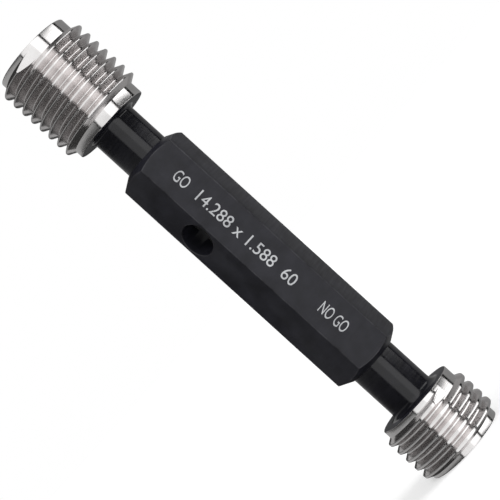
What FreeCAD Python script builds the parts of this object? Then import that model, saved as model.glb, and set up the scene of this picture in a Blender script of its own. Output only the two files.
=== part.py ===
import FreeCAD, Part
import math
import os
import Sketcher
from FreeCAD import Placement, Rotation, Vector

# Double-ended thread plug gauge: a hexagonal handle with a threaded GO member
# and a shorter threaded NOGO member, each locked in the handle by a 1:50 taper
# shank.  Millimetres.  The gauge stands on its NOGO end face, whose centre is
# the origin, with +Z along its axis towards the GO end.  The face of the hexagon
# that carries the marking looks along -Y.

doc = FreeCAD.newDocument("ThreadPlugGauge")
sheet = doc.addObject("Spreadsheet::Sheet", "Sizes")

driving_sizes = {
    # thread, the same for both members
    "thread_pitch": 1.5875,
    "thread_angle": 60,
    # GO member
    "go_major_dia": 14.2875,
    "go_crest_share": 0.12,          # crest flat as a share of the pitch
    "go_root_share": 0.055,          # root flat as a share of the pitch
    "go_head_length": 14.7,
    "go_neck_length": 6.5,
    "go_start_depth": 1.47,          # from the GO face to the first full crest
    "go_start_angle": -128.3,        # polar angle of that point about +Z
    "go_thread_turns": 7.35,
    # NOGO member: shorter, with cut-back crests and a wider root
    "nogo_major_dia": 13.9,
    "nogo_crest_share": 0.27,
    "nogo_root_share": 0.115,
    "nogo_head_length": 9.35,
    "nogo_neck_length": 7.75,
    "nogo_start_depth": 7.94,        # from the NOGO face to the inner full crest
    "nogo_start_angle": -89.3,
    "nogo_thread_turns": 4.45,
    # necks, taper shanks and the centre in each gauging face
    "neck_dia": 7.2,
    "shank_length": 10.0,
    "shank_taper": 0.02,             # on diameter, 1:50
    "centre_cone_dia": 3.4,
    "centre_cone_angle": 60,
    "centre_pilot_dia": 1.6,
    "centre_depth": 2.8,
    # blunt thread ends: a milled flat runs the ridge out into the root
    "flat_depth": 0.04,              # how far the flat dips below the root
    "flat_side_room": 0.2,
    # how deep the swept ridge is rooted in its core
    "ridge_rooting": 0.3,
    # handle
    "across_flats": 10.0,
    "handle_length": 41.4,
    "end_face_dia": 7.6,
    "end_chamfer_angle": 30,
    "bore_dia": 5.5,
    "socket_room": 0.5,              # socket depth beyond the shank's end
    "drift_hole_dia": 5.0,
    "drift_hole_room": 0.3,          # from the shank's end to the drift hole's wall
    "tool_room": 1.0,                # how far cutting profiles reach past the metal
}

worked_sizes = {
    "half_angle_tan": "=tan(thread_angle / 2)",
    "neck_rad": "=neck_dia / 2",
    "shank_end_rad": "=(neck_dia - shank_length * shank_taper) / 2",
    "cone_rad": "=centre_cone_dia / 2",
    "pilot_rad": "=centre_pilot_dia / 2",
    "cone_depth": "=(cone_rad - pilot_rad) / tan(centre_cone_angle / 2)",
    "go_crest_rad": "=go_major_dia / 2",
    "go_crest_flat": "=thread_pitch * go_crest_share",
    "go_ridge_base": "=thread_pitch * (1 - go_root_share)",
    "go_root_rad": "=go_crest_rad - (go_ridge_base - go_crest_flat) / 2 / half_angle_tan",
    "go_face": "=go_neck_length + go_head_length",
    "nogo_crest_rad": "=nogo_major_dia / 2",
    "nogo_crest_flat": "=thread_pitch * nogo_crest_share",
    "nogo_ridge_base": "=thread_pitch * (1 - nogo_root_share)",
    "nogo_root_rad": "=nogo_crest_rad - (nogo_ridge_base - nogo_crest_flat) / 2 / half_angle_tan",
    "nogo_mouth": "=nogo_head_length + nogo_neck_length",
    "corner_rad": "=across_flats / sqrt(3)",
    "end_face_rad": "=end_face_dia / 2",
    "socket_depth": "=shank_length + socket_room",
    "drift_hole_height": "=handle_length - shank_length - drift_hole_room - drift_hole_dia / 2",
}


def fill_sheet():
    """Write every size beside its alias, then the worked-out sizes as formulas."""
    rows = list(driving_sizes.items()) + list(worked_sizes.items())
    for row, (alias, content) in enumerate(rows, start=1):
        sheet.set(f"A{row}", alias)
        sheet.set(f"B{row}", str(content))
        sheet.setAlias(f"B{row}", alias)
    doc.recompute()


def size(alias):
    """Present value of one size, in millimetres or degrees."""
    return float(getattr(sheet, alias))


def origin_plane(body, role):
    """The body's own origin plane or axis with this role."""
    return next(item for item in body.Origin.OriginFeatures if item.Role == role)


def new_body(label, height):
    """A body whose own origin stands at this height on the gauge's axis."""
    body = doc.addObject("PartDesign::Body", label)
    body.Label = label
    body.setExpression("Placement.Base.z", height)
    return body


def new_sketch(body, name, role, turn="0", height="0"):
    """Sketch on one of the body's origin planes, turned about and raised along its axis."""
    sketch = body.newObject("Sketcher::SketchObject", name)
    sketch.AttachmentSupport = [(origin_plane(body, role), "")]
    sketch.MapMode = "FlatFace"
    # the gauge's axis is the sketch's own Y on an upright plane, its Z on a level one
    axis = Vector(0, 0, 1) if role == "XY_Plane" else Vector(0, 1, 0)
    sketch.AttachmentOffset = Placement(Vector(0, 0, 0), Rotation(axis, 1))
    sketch.setExpression("AttachmentOffset.Rotation.Angle", turn)
    if role == "XY_Plane":
        sketch.setExpression("AttachmentOffset.Base.z", height)
    return sketch


def place_point(sketch, line, across, along):
    """Hold the start of a line at two expressions, measured from the sketch's origin."""
    for kind, axis, expression in (("DistanceX", -2, across), ("DistanceY", -1, along)):
        if expression == "0":
            sketch.addConstraint(Sketcher.Constraint("PointOnObject", line, 1, axis))
            continue
        index = sketch.addConstraint(Sketcher.Constraint(kind, -1, 1, line, 1, 1.0))
        sketch.setExpression(f"Constraints[{index}]", expression)


def closed_outline(sketch, corners):
    """Closed chain of straight lines through corners given as pairs of expressions."""
    first = sketch.GeometryCount
    # any ring of separate points will do here: the constraints then pull them into place
    spread = [Vector(math.cos(number), math.sin(number), 0) for number in range(len(corners))]
    for start, end in zip(spread, spread[1:] + spread[:1]):
        sketch.addGeometry(Part.LineSegment(start, end), False)
    for number, (across, along) in enumerate(corners):
        line = first + number
        following = first + (number + 1) % len(corners)
        sketch.addConstraint(Sketcher.Constraint("Coincident", line, 2, following, 1))
        place_point(sketch, line, across, along)


def revolve(body, name, feature_type, *outlines):
    """Turn closed outlines about the gauge's axis, to add metal or to take it away."""
    sketch = new_sketch(body, name + "Profile", "XZ_Plane")
    for corners in outlines:
        closed_outline(sketch, corners)
    feature = body.newObject(feature_type, name)
    feature.Profile = sketch
    feature.ReferenceAxis = (sketch, ["V_Axis"])
    feature.Angle = 360
    return feature


def recompute_cut(body):
    """Recompute after a cutting feature and make sure that it took metal away."""
    before = body.Shape.Volume
    doc.recompute()
    if not body.Shape.Volume < before:
        raise RuntimeError(f"{body.Tip.Label} cuts nothing")


def member_blank(body, face, shoulder, mouth, shank_end, root_rad, inward):
    """Member without its thread: head, neck and taper shank, with a centre in its face.

    inward is the sign that leads from the gauging face into the metal.
    """
    revolve(body, body.Label + "_blank", "PartDesign::Revolution", [
        ("0", f"{face} {inward} Sizes.centre_depth"),
        ("Sizes.pilot_rad", f"{face} {inward} Sizes.centre_depth"),
        ("Sizes.pilot_rad", f"{face} {inward} Sizes.cone_depth"),
        ("Sizes.cone_rad", face),
        (root_rad, face),
        (root_rad, shoulder),
        ("Sizes.neck_rad", shoulder),
        ("Sizes.neck_rad", mouth),
        ("Sizes.shank_end_rad", shank_end),
        ("0", shank_end),
    ])
    doc.recompute()


def add_thread(body, kind, start_angle, start_height, turns):
    """Right-hand ridge wound on the head, with a milled flat at each end of it.

    The ridge has its full height from start_angle down through this many turns.
    Each flat lies just under the root and climbs out through the crest, so it
    takes run_out more degrees of ridge beyond the full thread.
    """
    crest_rad, root_rad = f"Sizes.{kind}_crest_rad", f"Sizes.{kind}_root_rad"
    crest_flat, ridge_base = f"Sizes.{kind}_crest_flat", f"Sizes.{kind}_ridge_base"
    flat_distance = f"({root_rad} - Sizes.flat_depth)"
    run_out = f"acos({flat_distance} / {crest_rad}) / 1 deg"

    upper_angle = f"({start_angle} + {run_out})"
    lower_angle = f"({start_angle} - 360 * {turns} - {run_out})"
    upper_height = f"({start_height} + Sizes.thread_pitch * {run_out} / 360)"
    lower_height = f"({start_height} - Sizes.thread_pitch * ({turns} + {run_out} / 360))"

    section = new_sketch(body, f"{kind}_ridge_section", "XZ_Plane", turn=lower_angle)
    rooted_rad = f"{root_rad} - Sizes.ridge_rooting"
    closed_outline(section, [
        (rooted_rad, f"{lower_height} - {ridge_base} / 2"),
        (root_rad, f"{lower_height} - {ridge_base} / 2"),
        (crest_rad, f"{lower_height} - {crest_flat} / 2"),
        (crest_rad, f"{lower_height} + {crest_flat} / 2"),
        (root_rad, f"{lower_height} + {ridge_base} / 2"),
        (rooted_rad, f"{lower_height} + {ridge_base} / 2"),
    ])
    ridge = body.newObject("PartDesign::AdditiveHelix", f"{kind}_ridge")
    ridge.Profile = section
    ridge.ReferenceAxis = (section, ["V_Axis"])
    ridge.Mode = "pitch-turns-angle"
    ridge.setExpression("Pitch", "Sizes.thread_pitch")
    ridge.setExpression("Turns", f"{turns} + 2 * {run_out} / 360")
    doc.recompute()

    mill_flat(body, f"{kind}_upper_flat", upper_angle, upper_height, flat_distance, crest_rad, "-", "+")
    mill_flat(body, f"{kind}_lower_flat", lower_angle, lower_height, flat_distance, crest_rad, "+", "-")


def mill_flat(body, name, angle, height, distance, crest_rad, ridge_side, free_side):
    """Flat at this distance from the axis, one pitch wide, over the end of the ridge."""
    sketch = new_sketch(body, name + "_edges", "XY_Plane", turn=angle, height=f"{height} + Sizes.thread_pitch / 2")
    outside = f"{crest_rad} + Sizes.tool_room"
    closed_outline(sketch, [
        (distance, f"{ridge_side} {crest_rad}"),
        (outside, f"{ridge_side} {crest_rad}"),
        (outside, f"{free_side} Sizes.flat_side_room"),
        (distance, f"{free_side} Sizes.flat_side_room"),
    ])
    flat = body.newObject("PartDesign::Pocket", name)
    flat.Profile = sketch
    flat.setExpression("Length", "Sizes.thread_pitch")
    recompute_cut(body)


def make_handle():
    """Hexagonal bar with chamfered ends, two taper sockets, a bore and a drift hole."""
    body = new_body("handle", "Sizes.nogo_mouth")

    flats = new_sketch(body, "hexagon", "XY_Plane")
    closed_outline(flats, [
        ("Sizes.corner_rad", "0"),
        ("Sizes.corner_rad / 2", "Sizes.across_flats / 2"),
        ("-Sizes.corner_rad / 2", "Sizes.across_flats / 2"),
        ("-Sizes.corner_rad", "0"),
        ("-Sizes.corner_rad / 2", "-Sizes.across_flats / 2"),
        ("Sizes.corner_rad / 2", "-Sizes.across_flats / 2"),
    ])
    bar = body.newObject("PartDesign::Pad", "hexagonal_bar")
    bar.Profile = flats
    bar.setExpression("Length", "Sizes.handle_length")
    doc.recompute()

    outside = "Sizes.corner_rad + Sizes.tool_room"
    slope = "tan(Sizes.end_chamfer_angle)"
    rise = f"(Sizes.corner_rad + Sizes.tool_room - Sizes.end_face_rad) * {slope}"
    run_past = f"Sizes.end_face_rad - Sizes.tool_room / {slope}"
    lower_end = [
        (run_past, "-Sizes.tool_room"),
        (outside, rise),
        (outside, "-Sizes.tool_room"),
    ]
    upper_end = [
        (run_past, "Sizes.handle_length + Sizes.tool_room"),
        (outside, f"Sizes.handle_length - {rise}"),
        (outside, "Sizes.handle_length + Sizes.tool_room"),
    ]
    revolve(body, "end_chamfers", "PartDesign::Groove", lower_end, upper_end)
    recompute_cut(body)

    taper = "Sizes.shank_taper / 2"
    wide = f"Sizes.neck_rad + Sizes.tool_room * {taper}"
    narrow = f"Sizes.neck_rad - Sizes.socket_depth * {taper}"
    revolve(body, "sockets_and_bore", "PartDesign::Groove", [
        ("0", "-Sizes.tool_room"),
        (wide, "-Sizes.tool_room"),
        (narrow, "Sizes.socket_depth"),
        ("Sizes.bore_dia / 2", "Sizes.socket_depth"),
        ("Sizes.bore_dia / 2", "Sizes.handle_length - Sizes.socket_depth"),
        (narrow, "Sizes.handle_length - Sizes.socket_depth"),
        (wide, "Sizes.handle_length + Sizes.tool_room"),
        ("0", "Sizes.handle_length + Sizes.tool_room"),
    ])
    recompute_cut(body)

    # through the flat that is next to the marked one, towards -X
    circle = new_sketch(body, "drift_hole_circle", "XZ_Plane", turn="-60")
    circle.addGeometry(Part.Circle(Vector(0, size("drift_hole_height"), 0), Vector(0, 0, 1), 1), False)
    circle.addConstraint(Sketcher.Constraint("PointOnObject", 0, 3, -2))
    height = circle.addConstraint(Sketcher.Constraint("DistanceY", -1, 1, 0, 3, 1.0))
    circle.setExpression(f"Constraints[{height}]", "Sizes.drift_hole_height")
    width = circle.addConstraint(Sketcher.Constraint("Diameter", 0, 1.0))
    circle.setExpression(f"Constraints[{width}]", "Sizes.drift_hole_dia")
    hole = body.newObject("PartDesign::Pocket", "drift_hole")
    hole.Profile = circle
    hole.SideType = "Symmetric"
    hole.Type = "ThroughAll"
    recompute_cut(body)
    return body


def make_go_member():
    """Long plug at the upper end.  Its own origin is in the handle's upper end face."""
    body = new_body("go_member", "Sizes.nogo_mouth + Sizes.handle_length")
    member_blank(
        body,
        face="Sizes.go_face",
        shoulder="Sizes.go_neck_length",
        mouth="0",
        shank_end="-Sizes.shank_length",
        root_rad="Sizes.go_root_rad",
        inward="-",
    )
    add_thread(
        body,
        "go",
        start_angle="Sizes.go_start_angle",
        start_height="(Sizes.go_face - Sizes.go_start_depth)",
        turns="Sizes.go_thread_turns",
    )
    return body


def make_nogo_member():
    """Short plug at the lower end.  Its own origin is in the face that the gauge stands on."""
    body = new_body("nogo_member", "0")
    member_blank(
        body,
        face="0",
        shoulder="Sizes.nogo_head_length",
        mouth="Sizes.nogo_mouth",
        shank_end="Sizes.nogo_mouth + Sizes.shank_length",
        root_rad="Sizes.nogo_root_rad",
        inward="+",
    )
    add_thread(
        body,
        "nogo",
        start_angle="Sizes.nogo_start_angle",
        start_height="Sizes.nogo_start_depth",
        turns="Sizes.nogo_thread_turns",
    )
    return body


def check_and_export(bodies):
    """Stop on any failed object or bad shape, then write one STEP file for each piece."""
    for item in doc.Objects:
        if "Invalid" in item.State or "Error" in item.State:
            raise RuntimeError(f"{item.Label} failed: {item.State}")
    for body in bodies:
        shape = body.Shape
        if shape.isNull() or not shape.isValid() or len(shape.Solids) != 1:
            raise RuntimeError(f"{body.Label} is not one valid solid")
    os.makedirs("parts", exist_ok=True)
    for body in bodies:
        body.Shape.exportStep(f"parts/{body.Label}.step")
        print(f"{body.Label}: {body.Shape.Volume:.2f} mm3, {body.Shape.BoundBox}")


fill_sheet()
pieces = [make_handle(), make_go_member(), make_nogo_member()]
doc.recompute()
check_and_export(pieces)
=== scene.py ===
import bmesh
import bpy
import math
from mathutils import Matrix, Vector


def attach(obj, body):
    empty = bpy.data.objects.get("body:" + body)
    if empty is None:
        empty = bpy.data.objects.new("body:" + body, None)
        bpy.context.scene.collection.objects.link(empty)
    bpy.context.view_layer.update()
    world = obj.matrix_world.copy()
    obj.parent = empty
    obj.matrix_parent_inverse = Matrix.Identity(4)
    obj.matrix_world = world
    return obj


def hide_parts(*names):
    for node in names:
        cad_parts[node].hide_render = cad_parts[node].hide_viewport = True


# A thread plug gauge standing on its NOGO end. Sizes are in millimetres and degrees.
mm = 0.001
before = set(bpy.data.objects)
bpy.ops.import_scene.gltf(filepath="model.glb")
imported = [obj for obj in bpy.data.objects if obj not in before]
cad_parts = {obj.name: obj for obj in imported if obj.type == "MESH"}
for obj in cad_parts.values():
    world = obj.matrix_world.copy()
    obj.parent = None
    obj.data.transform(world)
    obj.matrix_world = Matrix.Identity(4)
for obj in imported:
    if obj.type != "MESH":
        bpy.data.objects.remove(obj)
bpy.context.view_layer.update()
scene = bpy.context.scene
print("frame loaded:", ", ".join(sorted(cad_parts)))

turning = {
    "stepsPerTurn": 144,       # the same for cores and threads
    "cornerSegments": 5,
    "sharpAngle": 33,          # edges steeper than this stay crisp
    "mergeWithin": 0.0002,
    "mergeJoined": 0.0005,
}


def makeObject(bm, name):
    bmesh.ops.recalc_face_normals(bm, faces=bm.faces)
    mesh = bpy.data.meshes.new(name)
    bm.to_mesh(mesh)
    bm.free()
    piece = bpy.data.objects.new(name, mesh)
    scene.collection.objects.link(piece)
    return piece


def turnedSolid(profile):
    # profile runs from the axis round to the axis again: radius, height, rounding of that corner
    bm = bmesh.new()
    corners = [bm.verts.new((radius * mm, 0, height * mm)) for radius, height, rounding in profile]
    for start, end in zip(corners, corners[1:]):
        bm.edges.new((start, end))
    for corner, (radius, height, rounding) in zip(corners, profile):
        if rounding:
            bmesh.ops.bevel(bm, geom=[corner], offset=rounding * mm, offset_type="OFFSET",
                            segments=turning["cornerSegments"], profile=0.5, affect="VERTICES", material=-1)
    bmesh.ops.spin(bm, geom=bm.verts[:] + bm.edges[:], cent=(0, 0, 0), axis=(0, 0, 1),
                   angle=math.tau, steps=turning["stepsPerTurn"], use_merge=True)
    bmesh.ops.remove_doubles(bm, verts=bm.verts, dist=turning["mergeWithin"] * mm)
    return bm


def joinSolids(base, tools, operation):
    # the base with each tool added, taken away or shared, as one closed mesh
    for tool in tools:
        modifier = base.modifiers.new("solid", "BOOLEAN")
        modifier.operation = operation
        modifier.solver = "EXACT"
        modifier.object = tool
    bpy.context.view_layer.update()
    solved = base.evaluated_get(bpy.context.evaluated_depsgraph_get())
    settled = bpy.data.meshes.new_from_object(solved)
    base.modifiers.clear()
    base.data = settled
    for tool in tools:
        bpy.data.objects.remove(tool)
    bm = bmesh.new()
    bm.from_mesh(settled)
    bmesh.ops.remove_doubles(bm, verts=bm.verts, dist=turning["mergeJoined"] * mm)
    bmesh.ops.dissolve_degenerate(bm, edges=bm.edges, dist=turning["mergeJoined"] * mm)
    bm.to_mesh(settled)
    bm.free()


def shadeSmoothly(piece):
    piece.data.polygons.foreach_set("use_smooth", [True] * len(piece.data.polygons))
    piece.data.set_sharp_from_angle(angle=math.radians(turning["sharpAngle"]))


threadForm = {
    "pitch": 1.5875,
    "flankTan": math.tan(math.radians(30)),
    "rooting": 0.5,            # how far the ridge reaches into its core
    "rootOverlap": 0.04,       # how far below the root the flanks still slope
    "crestRounding": 0.055,
    "crestSegments": 3,
    "flatDepth": 0.04,         # how far the milled flats dip below the root
    "flatReach": 0.54,         # how far along the axis a flat cuts, as a share of the pitch
    "cutWithin": 0.0001,
}

shank = {
    "neckRad": 3.6,
    "endRad": 3.5,
    "length": 10.0,
    "coneRad": 1.7,
    "coneRounding": 0.08,
    "pilotRad": 0.8,
    "pilotRounding": 0.05,
    "coneDepth": 0.9 / math.tan(math.radians(30)),
    "centreDepth": 2.8,
    "centreRounding": 0.1,
    "rimRounding": 0.12,
    "endRounding": 0.15,
}

goMember = {
    "face": 79.7,
    "shoulder": 65.0,
    "mouth": 58.5,
    "shankEnd": 48.5,
    "majorDia": 14.2875,
    "crestShare": 0.12,
    "rootShare": 0.055,
    "neckFillet": 0.55,
    "startHeight": 79.7 - 1.47,
    "startAngle": -128.3,
    "turns": 7.35,
}

nogoMember = {
    "face": 0.0,
    "shoulder": 9.35,
    "mouth": 17.1,
    "shankEnd": 27.1,
    "majorDia": 13.9,
    "crestShare": 0.27,
    "rootShare": 0.115,
    "neckFillet": 0.9,
    "startHeight": 7.94,
    "startAngle": -89.3,
    "turns": 4.45,
}


def rootRadius(member):
    slope = (1 - member["rootShare"] - member["crestShare"]) * threadForm["pitch"] / 2
    return member["majorDia"] / 2 - slope / threadForm["flankTan"]


def memberCore(member):
    # head at root size, neck, taper shank, and a centre in the gauging face
    face, shoulder = member["face"], member["shoulder"]
    inward = 1 if shoulder > face else -1
    root, rim = rootRadius(member), shank["rimRounding"]
    return turnedSolid([
        (0, face + inward * shank["centreDepth"], 0),
        (shank["pilotRad"], face + inward * shank["centreDepth"], shank["centreRounding"]),
        (shank["pilotRad"], face + inward * shank["coneDepth"], shank["pilotRounding"]),
        (shank["coneRad"], face, shank["coneRounding"]),
        (root, face, rim),
        (root, shoulder, rim),
        (shank["neckRad"], shoulder, member["neckFillet"]),
        (shank["neckRad"], member["mouth"], 0),
        (shank["endRad"], member["shankEnd"], shank["endRounding"]),
        (0, member["shankEnd"], 0),
    ])


def threadRidge(member):
    # section at the lower end, wound upwards, with a flat milled over each end of it
    pitch, crest, root = threadForm["pitch"], member["majorDia"] / 2, rootRadius(member)
    flat = root - threadForm["flatDepth"]
    runOut = math.degrees(math.acos(flat / crest))
    lowAngle = math.radians(member["startAngle"] - 360 * member["turns"] - runOut)
    lowHeight = member["startHeight"] - pitch * (member["turns"] + runOut / 360)
    turns = member["turns"] + 2 * runOut / 360
    overlap = threadForm["rootOverlap"]
    crestHalf = pitch * member["crestShare"] / 2
    baseHalf = pitch * (1 - member["rootShare"]) / 2 + overlap * threadForm["flankTan"]
    section = [
        (root - threadForm["rooting"], -baseHalf),
        (root - overlap, -baseHalf),
        (crest, -crestHalf),
        (crest, crestHalf),
        (root - overlap, baseHalf),
        (root - threadForm["rooting"], baseHalf),
    ]
    bm = bmesh.new()
    outward = Vector((math.cos(lowAngle), math.sin(lowAngle), 0))
    corners = [bm.verts.new((outward * radius + Vector((0, 0, lowHeight + rise))) * mm)
               for radius, rise in section]
    for start, end in zip(corners, corners[1:] + corners[:1]):
        bm.edges.new((start, end))
    for corner in corners[2:4]:
        bmesh.ops.bevel(bm, geom=[corner], offset=threadForm["crestRounding"] * mm, offset_type="OFFSET",
                        segments=threadForm["crestSegments"], profile=0.5, affect="VERTICES", material=-1)
    steps = round(turns * turning["stepsPerTurn"])
    bmesh.ops.spin(bm, geom=bm.verts[:] + bm.edges[:], cent=(0, 0, 0), axis=(0, 0, 1),
                   dvec=(0, 0, pitch * turns / steps * mm), angle=math.tau * turns, steps=steps)
    bmesh.ops.holes_fill(bm, edges=[edge for edge in bm.edges if edge.is_boundary])
    upAngle, upHeight = lowAngle + math.tau * turns, lowHeight + pitch * turns
    for angle, height in ((lowAngle, lowHeight), (upAngle, upHeight)):
        millFlat(bm, angle, height, flat, pitch)
    return bm


def millFlat(bm, angle, height, distance, pitch):
    # only this end of the ridge is cut: the next turn is a pitch away
    normal = Vector((math.cos(angle), math.sin(angle), 0))
    nearEnd = [face for face in bm.faces
               if abs(face.calc_center_median().z / mm - height) < threadForm["flatReach"] * pitch
               and face.calc_center_median().dot(normal) > 0]
    parts = set(nearEnd)
    for face in nearEnd:
        parts.update(face.verts)
        parts.update(face.edges)
    bmesh.ops.bisect_plane(bm, geom=list(parts), dist=threadForm["cutWithin"] * mm,
                           plane_co=normal * distance * mm, plane_no=normal, clear_outer=True)
    bmesh.ops.holes_fill(bm, edges=[edge for edge in bm.edges if edge.is_boundary])


def makeMember(member, name):
    piece = makeObject(memberCore(member), name)
    joinSolids(piece, [makeObject(threadRidge(member), name + "Ridge")], "UNION")
    return piece


handle = {
    "acrossFlats": 10.0,
    "foot": 17.1,
    "length": 41.4,
    "endFaceRad": 3.8,
    "chamferAngle": 30,
    "boreRad": 2.75,
    "socketDepth": 10.5,
    "toolOverrun": 1,          # how far each cutting shape reaches past the bar
    "driftHoleRad": 2.5,
    "driftHoleSegments": 96,
    "driftHoleHeight": 45.7,
    "driftHoleAngle": -150,    # direction of the flat that the hole opens through
    "edgeBreak": 0.13,
    "edgeSegments": 3,
    "edgeFrom": 24,            # edges steeper than this are broken
    "mouthRad": 3.7,           # nothing within this radius is broken
}


def makeHandle():
    foot, top = handle["foot"], handle["foot"] + handle["length"]
    cornerRad = handle["acrossFlats"] / math.sqrt(3)
    bm = bmesh.new()
    standing = Matrix.Translation((0, 0, foot * mm)) @ Matrix.Rotation(math.radians(30), 4, "Z")
    bmesh.ops.create_circle(bm, cap_ends=True, radius=cornerRad * mm, segments=6, matrix=standing)
    grown = bmesh.ops.extrude_face_region(bm, geom=bm.faces[:])
    raised = [item for item in grown["geom"] if isinstance(item, bmesh.types.BMVert)]
    bmesh.ops.translate(bm, verts=raised, vec=(0, 0, handle["length"] * mm))
    piece = makeObject(bm, "gaugeHandle")

    overrun = handle["toolOverrun"]
    outside = cornerRad + overrun
    rise = (outside - handle["endFaceRad"]) * math.tan(math.radians(handle["chamferAngle"]))
    envelope = makeObject(turnedSolid([
        (0, foot, 0),
        (handle["endFaceRad"], foot, 0),
        (outside, foot + rise, 0),
        (outside, top - rise, 0),
        (handle["endFaceRad"], top, 0),
        (0, top, 0),
    ]), "envelope")
    joinSolids(piece, [envelope], "INTERSECT")

    taper = (shank["neckRad"] - shank["endRad"]) / shank["length"]
    narrow = shank["neckRad"] - taper * handle["socketDepth"]
    wide = shank["neckRad"] + taper * overrun
    hollow = makeObject(turnedSolid([
        (0, foot - overrun, 0),
        (wide, foot - overrun, 0),
        (narrow, foot + handle["socketDepth"], 0),
        (handle["boreRad"], foot + handle["socketDepth"], 0),
        (handle["boreRad"], top - handle["socketDepth"], 0),
        (narrow, top - handle["socketDepth"], 0),
        (wide, top + overrun, 0),
        (0, top + overrun, 0),
    ]), "hollow")
    bm = bmesh.new()
    holeRad = handle["driftHoleRad"] * mm
    bmesh.ops.create_cone(bm, cap_ends=True, segments=handle["driftHoleSegments"], radius1=holeRad,
                          radius2=holeRad, depth=3 * handle["acrossFlats"] * mm)
    place = Matrix.Translation((0, 0, handle["driftHoleHeight"] * mm))
    turned = Matrix.Rotation(math.radians(handle["driftHoleAngle"]), 4, "Z")
    lying = Matrix.Rotation(math.pi / 2, 4, "Y")
    bmesh.ops.transform(bm, verts=bm.verts, matrix=place @ (turned @ lying))
    joinSolids(piece, [hollow, makeObject(bm, "driftHole")], "DIFFERENCE")

    bm = bmesh.new()
    bm.from_mesh(piece.data)
    edges = [edge for edge in bm.edges if edge.calc_face_angle(0) > math.radians(handle["edgeFrom"])
             and min(vert.co.xy.length for vert in edge.verts) > handle["mouthRad"] * mm]
    broken = bmesh.ops.bevel(bm, geom=edges, offset=handle["edgeBreak"] * mm, offset_type="OFFSET",
                             segments=handle["edgeSegments"], profile=0.5, affect="EDGES",
                             clamp_overlap=True, material=-1)
    for face in broken["faces"]:
        face.material_index = 1
    bm.to_mesh(piece.data)
    bm.free()
    return piece


toolMarksLook = {
    "stretch": (60, 60, 1000),     # squeezed along the axis, so that the lines run round it
    "lineDetail": 3,
    "cloudScale": 420,
    "cloudDetail": 4,
    "noiseLow": 0.3,
    "noiseHigh": 0.7,
}


def newMaterial(name):
    material = bpy.data.materials.new(name)
    material.use_nodes = True
    nodes, links = material.node_tree.nodes, material.node_tree.links
    return material, nodes, links, nodes["Principled BSDF"]


def plainSockets(shader, values):
    for socket, value in values.items():
        shader.inputs[socket].default_value = value


def toolMarksGroup():
    # fine lines that run round the gauge, with a slower cloud over them
    group = bpy.data.node_groups.new("toolMarks", "ShaderNodeTree")
    group.interface.new_socket("Lines per mm", in_out="INPUT", socket_type="NodeSocketFloat")
    group.interface.new_socket("Lines", in_out="OUTPUT", socket_type="NodeSocketFloat")
    group.interface.new_socket("Cloud", in_out="OUTPUT", socket_type="NodeSocketFloat")
    nodes, links = group.nodes, group.links
    entry, leave = nodes.new("NodeGroupInput"), nodes.new("NodeGroupOutput")
    place = nodes.new("ShaderNodeTexCoord")
    stretch = nodes.new("ShaderNodeMapping")
    stretch.inputs["Scale"].default_value = toolMarksLook["stretch"]
    fine = nodes.new("ShaderNodeTexNoise")
    fine.inputs["Detail"].default_value = toolMarksLook["lineDetail"]
    cloud = nodes.new("ShaderNodeTexNoise")
    cloud.inputs["Scale"].default_value = toolMarksLook["cloudScale"]
    cloud.inputs["Detail"].default_value = toolMarksLook["cloudDetail"]
    links.new(place.outputs["Object"], stretch.inputs["Vector"])
    links.new(stretch.outputs["Vector"], fine.inputs["Vector"])
    links.new(entry.outputs["Lines per mm"], fine.inputs["Scale"])
    links.new(place.outputs["Object"], cloud.inputs["Vector"])
    links.new(fine.outputs["Fac"], leave.inputs["Lines"])
    links.new(cloud.outputs["Fac"], leave.inputs["Cloud"])
    return group


def spread(nodes, links, source, low, high):
    node = nodes.new("ShaderNodeMapRange")
    node.inputs["From Min"].default_value = toolMarksLook["noiseLow"]
    node.inputs["From Max"].default_value = toolMarksLook["noiseHigh"]
    node.inputs["To Min"].default_value = low
    node.inputs["To Max"].default_value = high
    links.new(source, node.inputs["Value"])
    return node.outputs["Result"]


def tint(nodes, links, source, dark, light):
    ramp = nodes.new("ShaderNodeValToRGB")
    first, last = ramp.color_ramp.elements
    first.position = toolMarksLook["noiseLow"]
    first.color = (*dark, 1)
    last.position = toolMarksLook["noiseHigh"]
    last.color = (*light, 1)
    links.new(source, ramp.inputs["Fac"])
    return ramp.outputs["Color"]


def finish(name, toolMarks, look):
    material, nodes, links, shader = newMaterial(name)
    plainSockets(shader, look["plain"])
    if "Anisotropic" in look["plain"]:
        aroundAxis = nodes.new("ShaderNodeTangent")
        aroundAxis.direction_type = "RADIAL"
        aroundAxis.axis = "Z"
        links.new(aroundAxis.outputs["Tangent"], shader.inputs["Tangent"])
    marks = nodes.new("ShaderNodeGroup")
    marks.node_tree = toolMarks
    marks.inputs["Lines per mm"].default_value = look["linesPerMm"]
    colour = tint(nodes, links, marks.outputs["Cloud"], look["dark"], look["light"])
    roughness = spread(nodes, links, marks.outputs["Lines"], *look["roughness"])
    links.new(colour, shader.inputs["Base Color"])
    links.new(roughness, shader.inputs["Roughness"])
    bump = nodes.new("ShaderNodeBump")
    bump.inputs["Strength"].default_value = look["bumpStrength"]
    bump.inputs["Distance"].default_value = look["bumpHeight"] * mm
    links.new(marks.outputs["Lines"], bump.inputs["Height"])
    links.new(bump.outputs["Normal"], shader.inputs["Normal"])
    return material


groundSteel = {
    "plain": {"Metallic": 1.0, "Anisotropic": 0.6, "Anisotropic Rotation": 0.25},
    "dark": (0.66, 0.645, 0.64),
    "light": (0.75, 0.74, 0.735),
    "roughness": (0.10, 0.18),
    "linesPerMm": 9,
    "bumpStrength": 0.25,
    "bumpHeight": 0.004,
}

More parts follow.
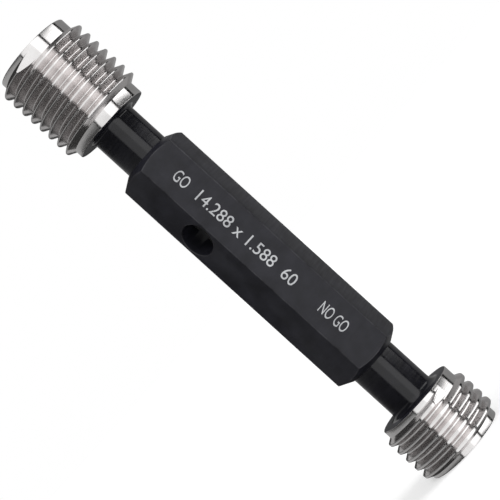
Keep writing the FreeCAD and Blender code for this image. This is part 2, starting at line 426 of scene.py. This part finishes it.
flankSteel = {
    "plain": {"Metallic": 1.0, "Anisotropic": 0.9, "Anisotropic Rotation": 0.25},
    "dark": (0.66, 0.63, 0.625),
    "light": (0.77, 0.745, 0.74),
    "roughness": (0.18, 0.27),
    "linesPerMm": 9,
    "bumpStrength": 0.25,
    "bumpHeight": 0.004,
}

turnedBlack = {
    "plain": {"Metallic": 0.0, "IOR": 1.45},
    "dark": (0.005, 0.005, 0.007),
    "light": (0.012, 0.012, 0.016),
    "roughness": (0.10, 0.20),
    "linesPerMm": 4,
    "bumpStrength": 0.35,
    "bumpHeight": 0.006,
}

satinBlack = {
    "plain": {"Metallic": 0.0, "IOR": 1.36},
    "dark": (0.009, 0.009, 0.013),
    "light": (0.019, 0.019, 0.026),
    "roughness": (0.34, 0.44),
    "linesPerMm": 3,
    "bumpStrength": 0.2,
    "bumpHeight": 0.005,
}

wornBlack = {
    "plain": {"Metallic": 0.2, "IOR": 1.4},
    "dark": (0.010, 0.010, 0.013),
    "light": (0.06, 0.06, 0.068),
    "roughness": (0.30, 0.42),
    "linesPerMm": 3,
    "bumpStrength": 0.2,
    "bumpHeight": 0.005,
}


toolMarks = toolMarksGroup()
steel = finish("groundSteel", toolMarks, groundSteel)
flank = finish("flankSteel", toolMarks, flankSteel)
neckBlack = finish("turnedBlackOxide", toolMarks, turnedBlack)
handleBlack = finish("satinBlackOxide", toolMarks, satinBlack)
edgeBlack = finish("wornBlackOxide", toolMarks, wornBlack)
print("finishes made")


dressing = {
    "rimMargin": 0.08,         # black stops this far inside the rim of the shoulder
    "shoulderMargin": 0.01,
    "flankFlattest": 0.6,      # faces that lean this much along the axis are flanks
    "flankSteepest": 0.95,
}


def dressMember(piece, member):
    # ground all over the head, satin black on its shoulder face, glossier black on the neck and shank
    headSlot, neckSlot, shoulderSlot, flankSlot = range(4)
    for material in (steel, neckBlack, handleBlack, flank):
        piece.data.materials.append(material)
    inward = 1 if member["shoulder"] > member["face"] else -1
    limit = rootRadius(member) - dressing["rimMargin"]
    margin = dressing["shoulderMargin"]
    for face in piece.data.polygons:
        past = (face.center.z / mm - member["shoulder"]) * inward
        outFrom = face.center.xy.length / mm
        leaning = dressing["flankFlattest"] < abs(face.normal.z) < dressing["flankSteepest"]
        face.material_index = headSlot
        if past > -margin and outFrom < limit:
            face.material_index = neckSlot if past > margin else shoulderSlot
        elif leaning and outFrom > limit:
            face.material_index = flankSlot
    shadeSmoothly(piece)


goPlug = makeMember(goMember, "goPlug")
dressMember(goPlug, goMember)
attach(goPlug, "root")
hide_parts("go_member")
print("GO member made:", len(goPlug.data.polygons), "faces")

nogoPlug = makeMember(nogoMember, "nogoPlug")
dressMember(nogoPlug, nogoMember)
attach(nogoPlug, "root")
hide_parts("nogo_member")
print("NOGO member made:", len(nogoPlug.data.polygons), "faces")

gaugeHandle = makeHandle()
gaugeHandle.data.materials.append(handleBlack)
gaugeHandle.data.materials.append(edgeBlack)
shadeSmoothly(gaugeHandle)
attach(gaugeHandle, "root")
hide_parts("handle")
print("handle made:", len(gaugeHandle.data.polygons), "faces")


marking = {
    "faceDistance": 5.0,
    "raise": 0.012,
    "capHeight": 1.75,
    "words": (
        ("GO", 52.65, 2.3),    # text, height of its middle, its length
        ("14.288 x 1.588", 42.8, 13.7),
        ("60", 33.3, 2.2),
        ("NO GO", 25.3, 4.6),
    ),
}


def makeWord(text, middle, length):
    curve = bpy.data.curves.new("word", "FONT")
    curve.body = text
    curve.extrude = 0.01       # only to give it a thickness, scaled to size below
    holder = bpy.data.objects.new("word", curve)
    scene.collection.objects.link(holder)
    bpy.context.view_layer.update()
    flatText = holder.evaluated_get(bpy.context.evaluated_depsgraph_get())
    mesh = bpy.data.meshes.new_from_object(flatText)
    bpy.data.objects.remove(holder)
    bm = bmesh.new()
    bm.from_mesh(mesh)
    low = [min(vert.co[axis] for vert in bm.verts) for axis in range(3)]
    high = [max(vert.co[axis] for vert in bm.verts) for axis in range(3)]
    bmesh.ops.translate(bm, verts=bm.verts, vec=[-(a + b) / 2 for a, b in zip(low, high)])
    wanted = (length, marking["capHeight"], 2 * marking["raise"])
    bmesh.ops.scale(bm, verts=bm.verts, vec=[size / (b - a) * mm for size, a, b in zip(wanted, low, high)])
    # reads down the handle: along -Z, letter tops towards +X, facing -Y
    stand = Matrix(((0, 1, 0), (0, 0, -1), (-1, 0, 0))).to_4x4()
    place = Matrix.Translation((0, -marking["faceDistance"] * mm, middle * mm))
    bmesh.ops.transform(bm, verts=bm.verts, matrix=place @ stand)
    bm.to_mesh(mesh)
    bm.free()
    return mesh


def makeMarking():
    bm = bmesh.new()
    for text, middle, length in marking["words"]:
        bm.from_mesh(makeWord(text, middle, length))
    return makeObject(bm, "marking")


markingWhite = {
    "plain": {"Metallic": 0.0},
    "dark": (0.50, 0.51, 0.53),
    "light": (0.72, 0.73, 0.75),
    "roughness": (0.5, 0.7),
    "linesPerMm": 5,
    "bumpStrength": 0.2,
    "bumpHeight": 0.004,
}

words = makeMarking()
words.data.materials.append(finish("etchedMarking", toolMarks, markingWhite))
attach(words, "root")
print("marking made")


view = {
    "azimuth": -10.3,
    "roll": 47.78,
    "aimHeight": 39.59,
    "distance": 212.6,
    "lens": 112.2,
    "sensorWidth": 36,
    "nearest": 0.01,
}


def makeCamera():
    turn, roll = math.radians(view["azimuth"]), math.radians(view["roll"])
    back = Vector((math.sin(turn), -math.cos(turn), 0))
    right = Vector((math.cos(turn), math.sin(turn), 0))
    up = Vector((0, 0, 1))
    across = right * math.cos(roll) - up * math.sin(roll)
    above = right * math.sin(roll) + up * math.cos(roll)
    camera = bpy.data.objects.new("camera", bpy.data.cameras.new("camera"))
    camera.data.sensor_width = view["sensorWidth"]
    camera.data.lens = view["lens"]
    camera.data.clip_start = view["nearest"]
    place = Vector((0, 0, view["aimHeight"] * mm)) + back * view["distance"] * mm
    camera.matrix_world = Matrix.Translation(place) @ Matrix((across, above, back)).transposed().to_4x4()
    scene.collection.objects.link(camera)
    scene.camera = camera


makeCamera()
print("camera placed")


studio = {
    # cards that only reflections see, with two belts at the heights that the two members mirror
    "cardDistance": 480,
    "cardStep": 4,
    "lowerBelt": (-140, -30),
    "upperBelt": (95, 225),
    "reach": 1300,
    # from and to (degrees round from the camera), brightness in the belts, between them, beyond them
    "cards": (
        (-180, -28, 0.42, 0.05, 0.04),
        (-28, -23, 0.01, 0.01, 0.04),
        (-23, 14, 1.15, 1.0, 1.15),
        (14, 42.5, 1.55, 1.5, 1.5),
        (42.5, 49.5, 0.01, 0.01, 0.03),
        (49.5, 103, 1.8, 0.04, 0.03),
        (103, 113, 0.01, 0.01, 0.03),
        (113, 180, 0.27, 0.32, 0.34),
    ),
    "floorReach": 3,           # metres each way
    "floorColour": (0.62, 0.62, 0.62),
    "floorRoughness": 0.9,
    "floorLift": 0.47,
    "skyLevel": 0.5,
    "sunDistance": 500,
    # degrees round from the camera, degrees above the floor, softness, strength
    "suns": (
        (70, 42, 30, 1.5),
        (-35, 60, 60, 0.6),
    ),
}


def towards(degrees, distance, height):
    turn = math.radians(view["azimuth"] + degrees - 90)
    return Vector((math.cos(turn) * distance, math.sin(turn) * distance, height)) * mm


def emitter(name, level):
    material = bpy.data.materials.new(name)
    material.use_nodes = True
    nodes, links = material.node_tree.nodes, material.node_tree.links
    nodes.clear()
    light, out = nodes.new("ShaderNodeEmission"), nodes.new("ShaderNodeOutputMaterial")
    light.inputs["Color"].default_value = (1, 1, 1, 1)
    light.inputs["Strength"].default_value = level
    links.new(light.outputs["Emission"], out.inputs["Surface"])
    return material


def makeCard(name, start, end, low, high, level):
    bm = bmesh.new()
    foot = bm.verts.new(towards(start, studio["cardDistance"], low))
    top = bm.verts.new(towards(start, studio["cardDistance"], high))
    bm.edges.new((foot, top))
    bmesh.ops.spin(bm, geom=bm.verts[:] + bm.edges[:], cent=(0, 0, 0), axis=(0, 0, 1),
                   angle=math.radians(end - start), steps=max(2, round((end - start) / studio["cardStep"])))
    card = makeObject(bm, name)
    card.data.materials.append(emitter(name, level))
    card.visible_camera = False
    card.visible_diffuse = False
    card.visible_transmission = False
    card.visible_shadow = False


def makeSun(number, degrees, rise, softness, strength):
    sun = bpy.data.lights.new(f"sun{number}", "SUN")
    sun.angle = math.radians(softness)
    sun.energy = strength
    holder = bpy.data.objects.new(f"sun{number}", sun)
    distance, lifted = studio["sunDistance"], math.radians(rise)
    holder.location = towards(degrees, distance * math.cos(lifted), distance * math.sin(lifted))
    holder.rotation_euler = holder.location.to_track_quat("Z", "Y").to_euler()
    holder.visible_glossy = False
    scene.collection.objects.link(holder)


def makeFloor():
    bm = bmesh.new()
    bmesh.ops.create_grid(bm, x_segments=1, y_segments=1, size=studio["floorReach"])
    floor = makeObject(bm, "floor")
    material, nodes, links, shader = newMaterial("paleFloor")
    shader.inputs["Base Color"].default_value = (*studio["floorColour"], 1)
    shader.inputs["Roughness"].default_value = studio["floorRoughness"]
    path = nodes.new("ShaderNodeLightPath")
    lift = nodes.new("ShaderNodeMath")
    lift.operation = "MULTIPLY"
    lift.inputs[1].default_value = studio["floorLift"]
    links.new(path.outputs["Is Camera Ray"], lift.inputs[0])
    shader.inputs["Emission Color"].default_value = (1, 1, 1, 1)
    links.new(lift.outputs["Value"], shader.inputs["Emission Strength"])
    floor.data.materials.append(material)
    floor.visible_glossy = False


def makeSky():
    # plain grey light, pure white where the camera, metal or glass looks past the gauge
    world = bpy.data.worlds.new("studio")
    scene.world = world
    world.use_nodes = True
    nodes, links = world.node_tree.nodes, world.node_tree.links
    path = nodes.new("ShaderNodeLightPath")
    seenOrMirrored = nodes.new("ShaderNodeMath")
    seenOrMirrored.operation = "MAXIMUM"
    anyOfThree = nodes.new("ShaderNodeMath")
    anyOfThree.operation = "MAXIMUM"
    level = nodes.new("ShaderNodeMapRange")
    level.inputs["To Min"].default_value = studio["skyLevel"]
    level.inputs["To Max"].default_value = 1
    links.new(path.outputs["Is Camera Ray"], seenOrMirrored.inputs[0])
    links.new(path.outputs["Is Glossy Ray"], seenOrMirrored.inputs[1])
    links.new(seenOrMirrored.outputs["Value"], anyOfThree.inputs[0])
    links.new(path.outputs["Is Transmission Ray"], anyOfThree.inputs[1])
    links.new(anyOfThree.outputs["Value"], level.inputs["Value"])
    sky = nodes["Background"]
    sky.inputs["Color"].default_value = (1, 1, 1, 1)
    links.new(level.outputs["Result"], sky.inputs["Strength"])


makeFloor()
makeSky()
for number, (start, end, inBelts, between, beyond) in enumerate(studio["cards"]):
    edges = (-studio["reach"], *studio["lowerBelt"], *studio["upperBelt"], studio["reach"])
    levels = (beyond, inBelts, between, inBelts, beyond)
    for row, level in enumerate(levels):
        makeCard(f"card{number}row{row}", start, end, edges[row], edges[row + 1], level)
for number, sun in enumerate(studio["suns"]):
    makeSun(number, *sun)
scene.view_settings.view_transform = "Standard"
print("studio lit")
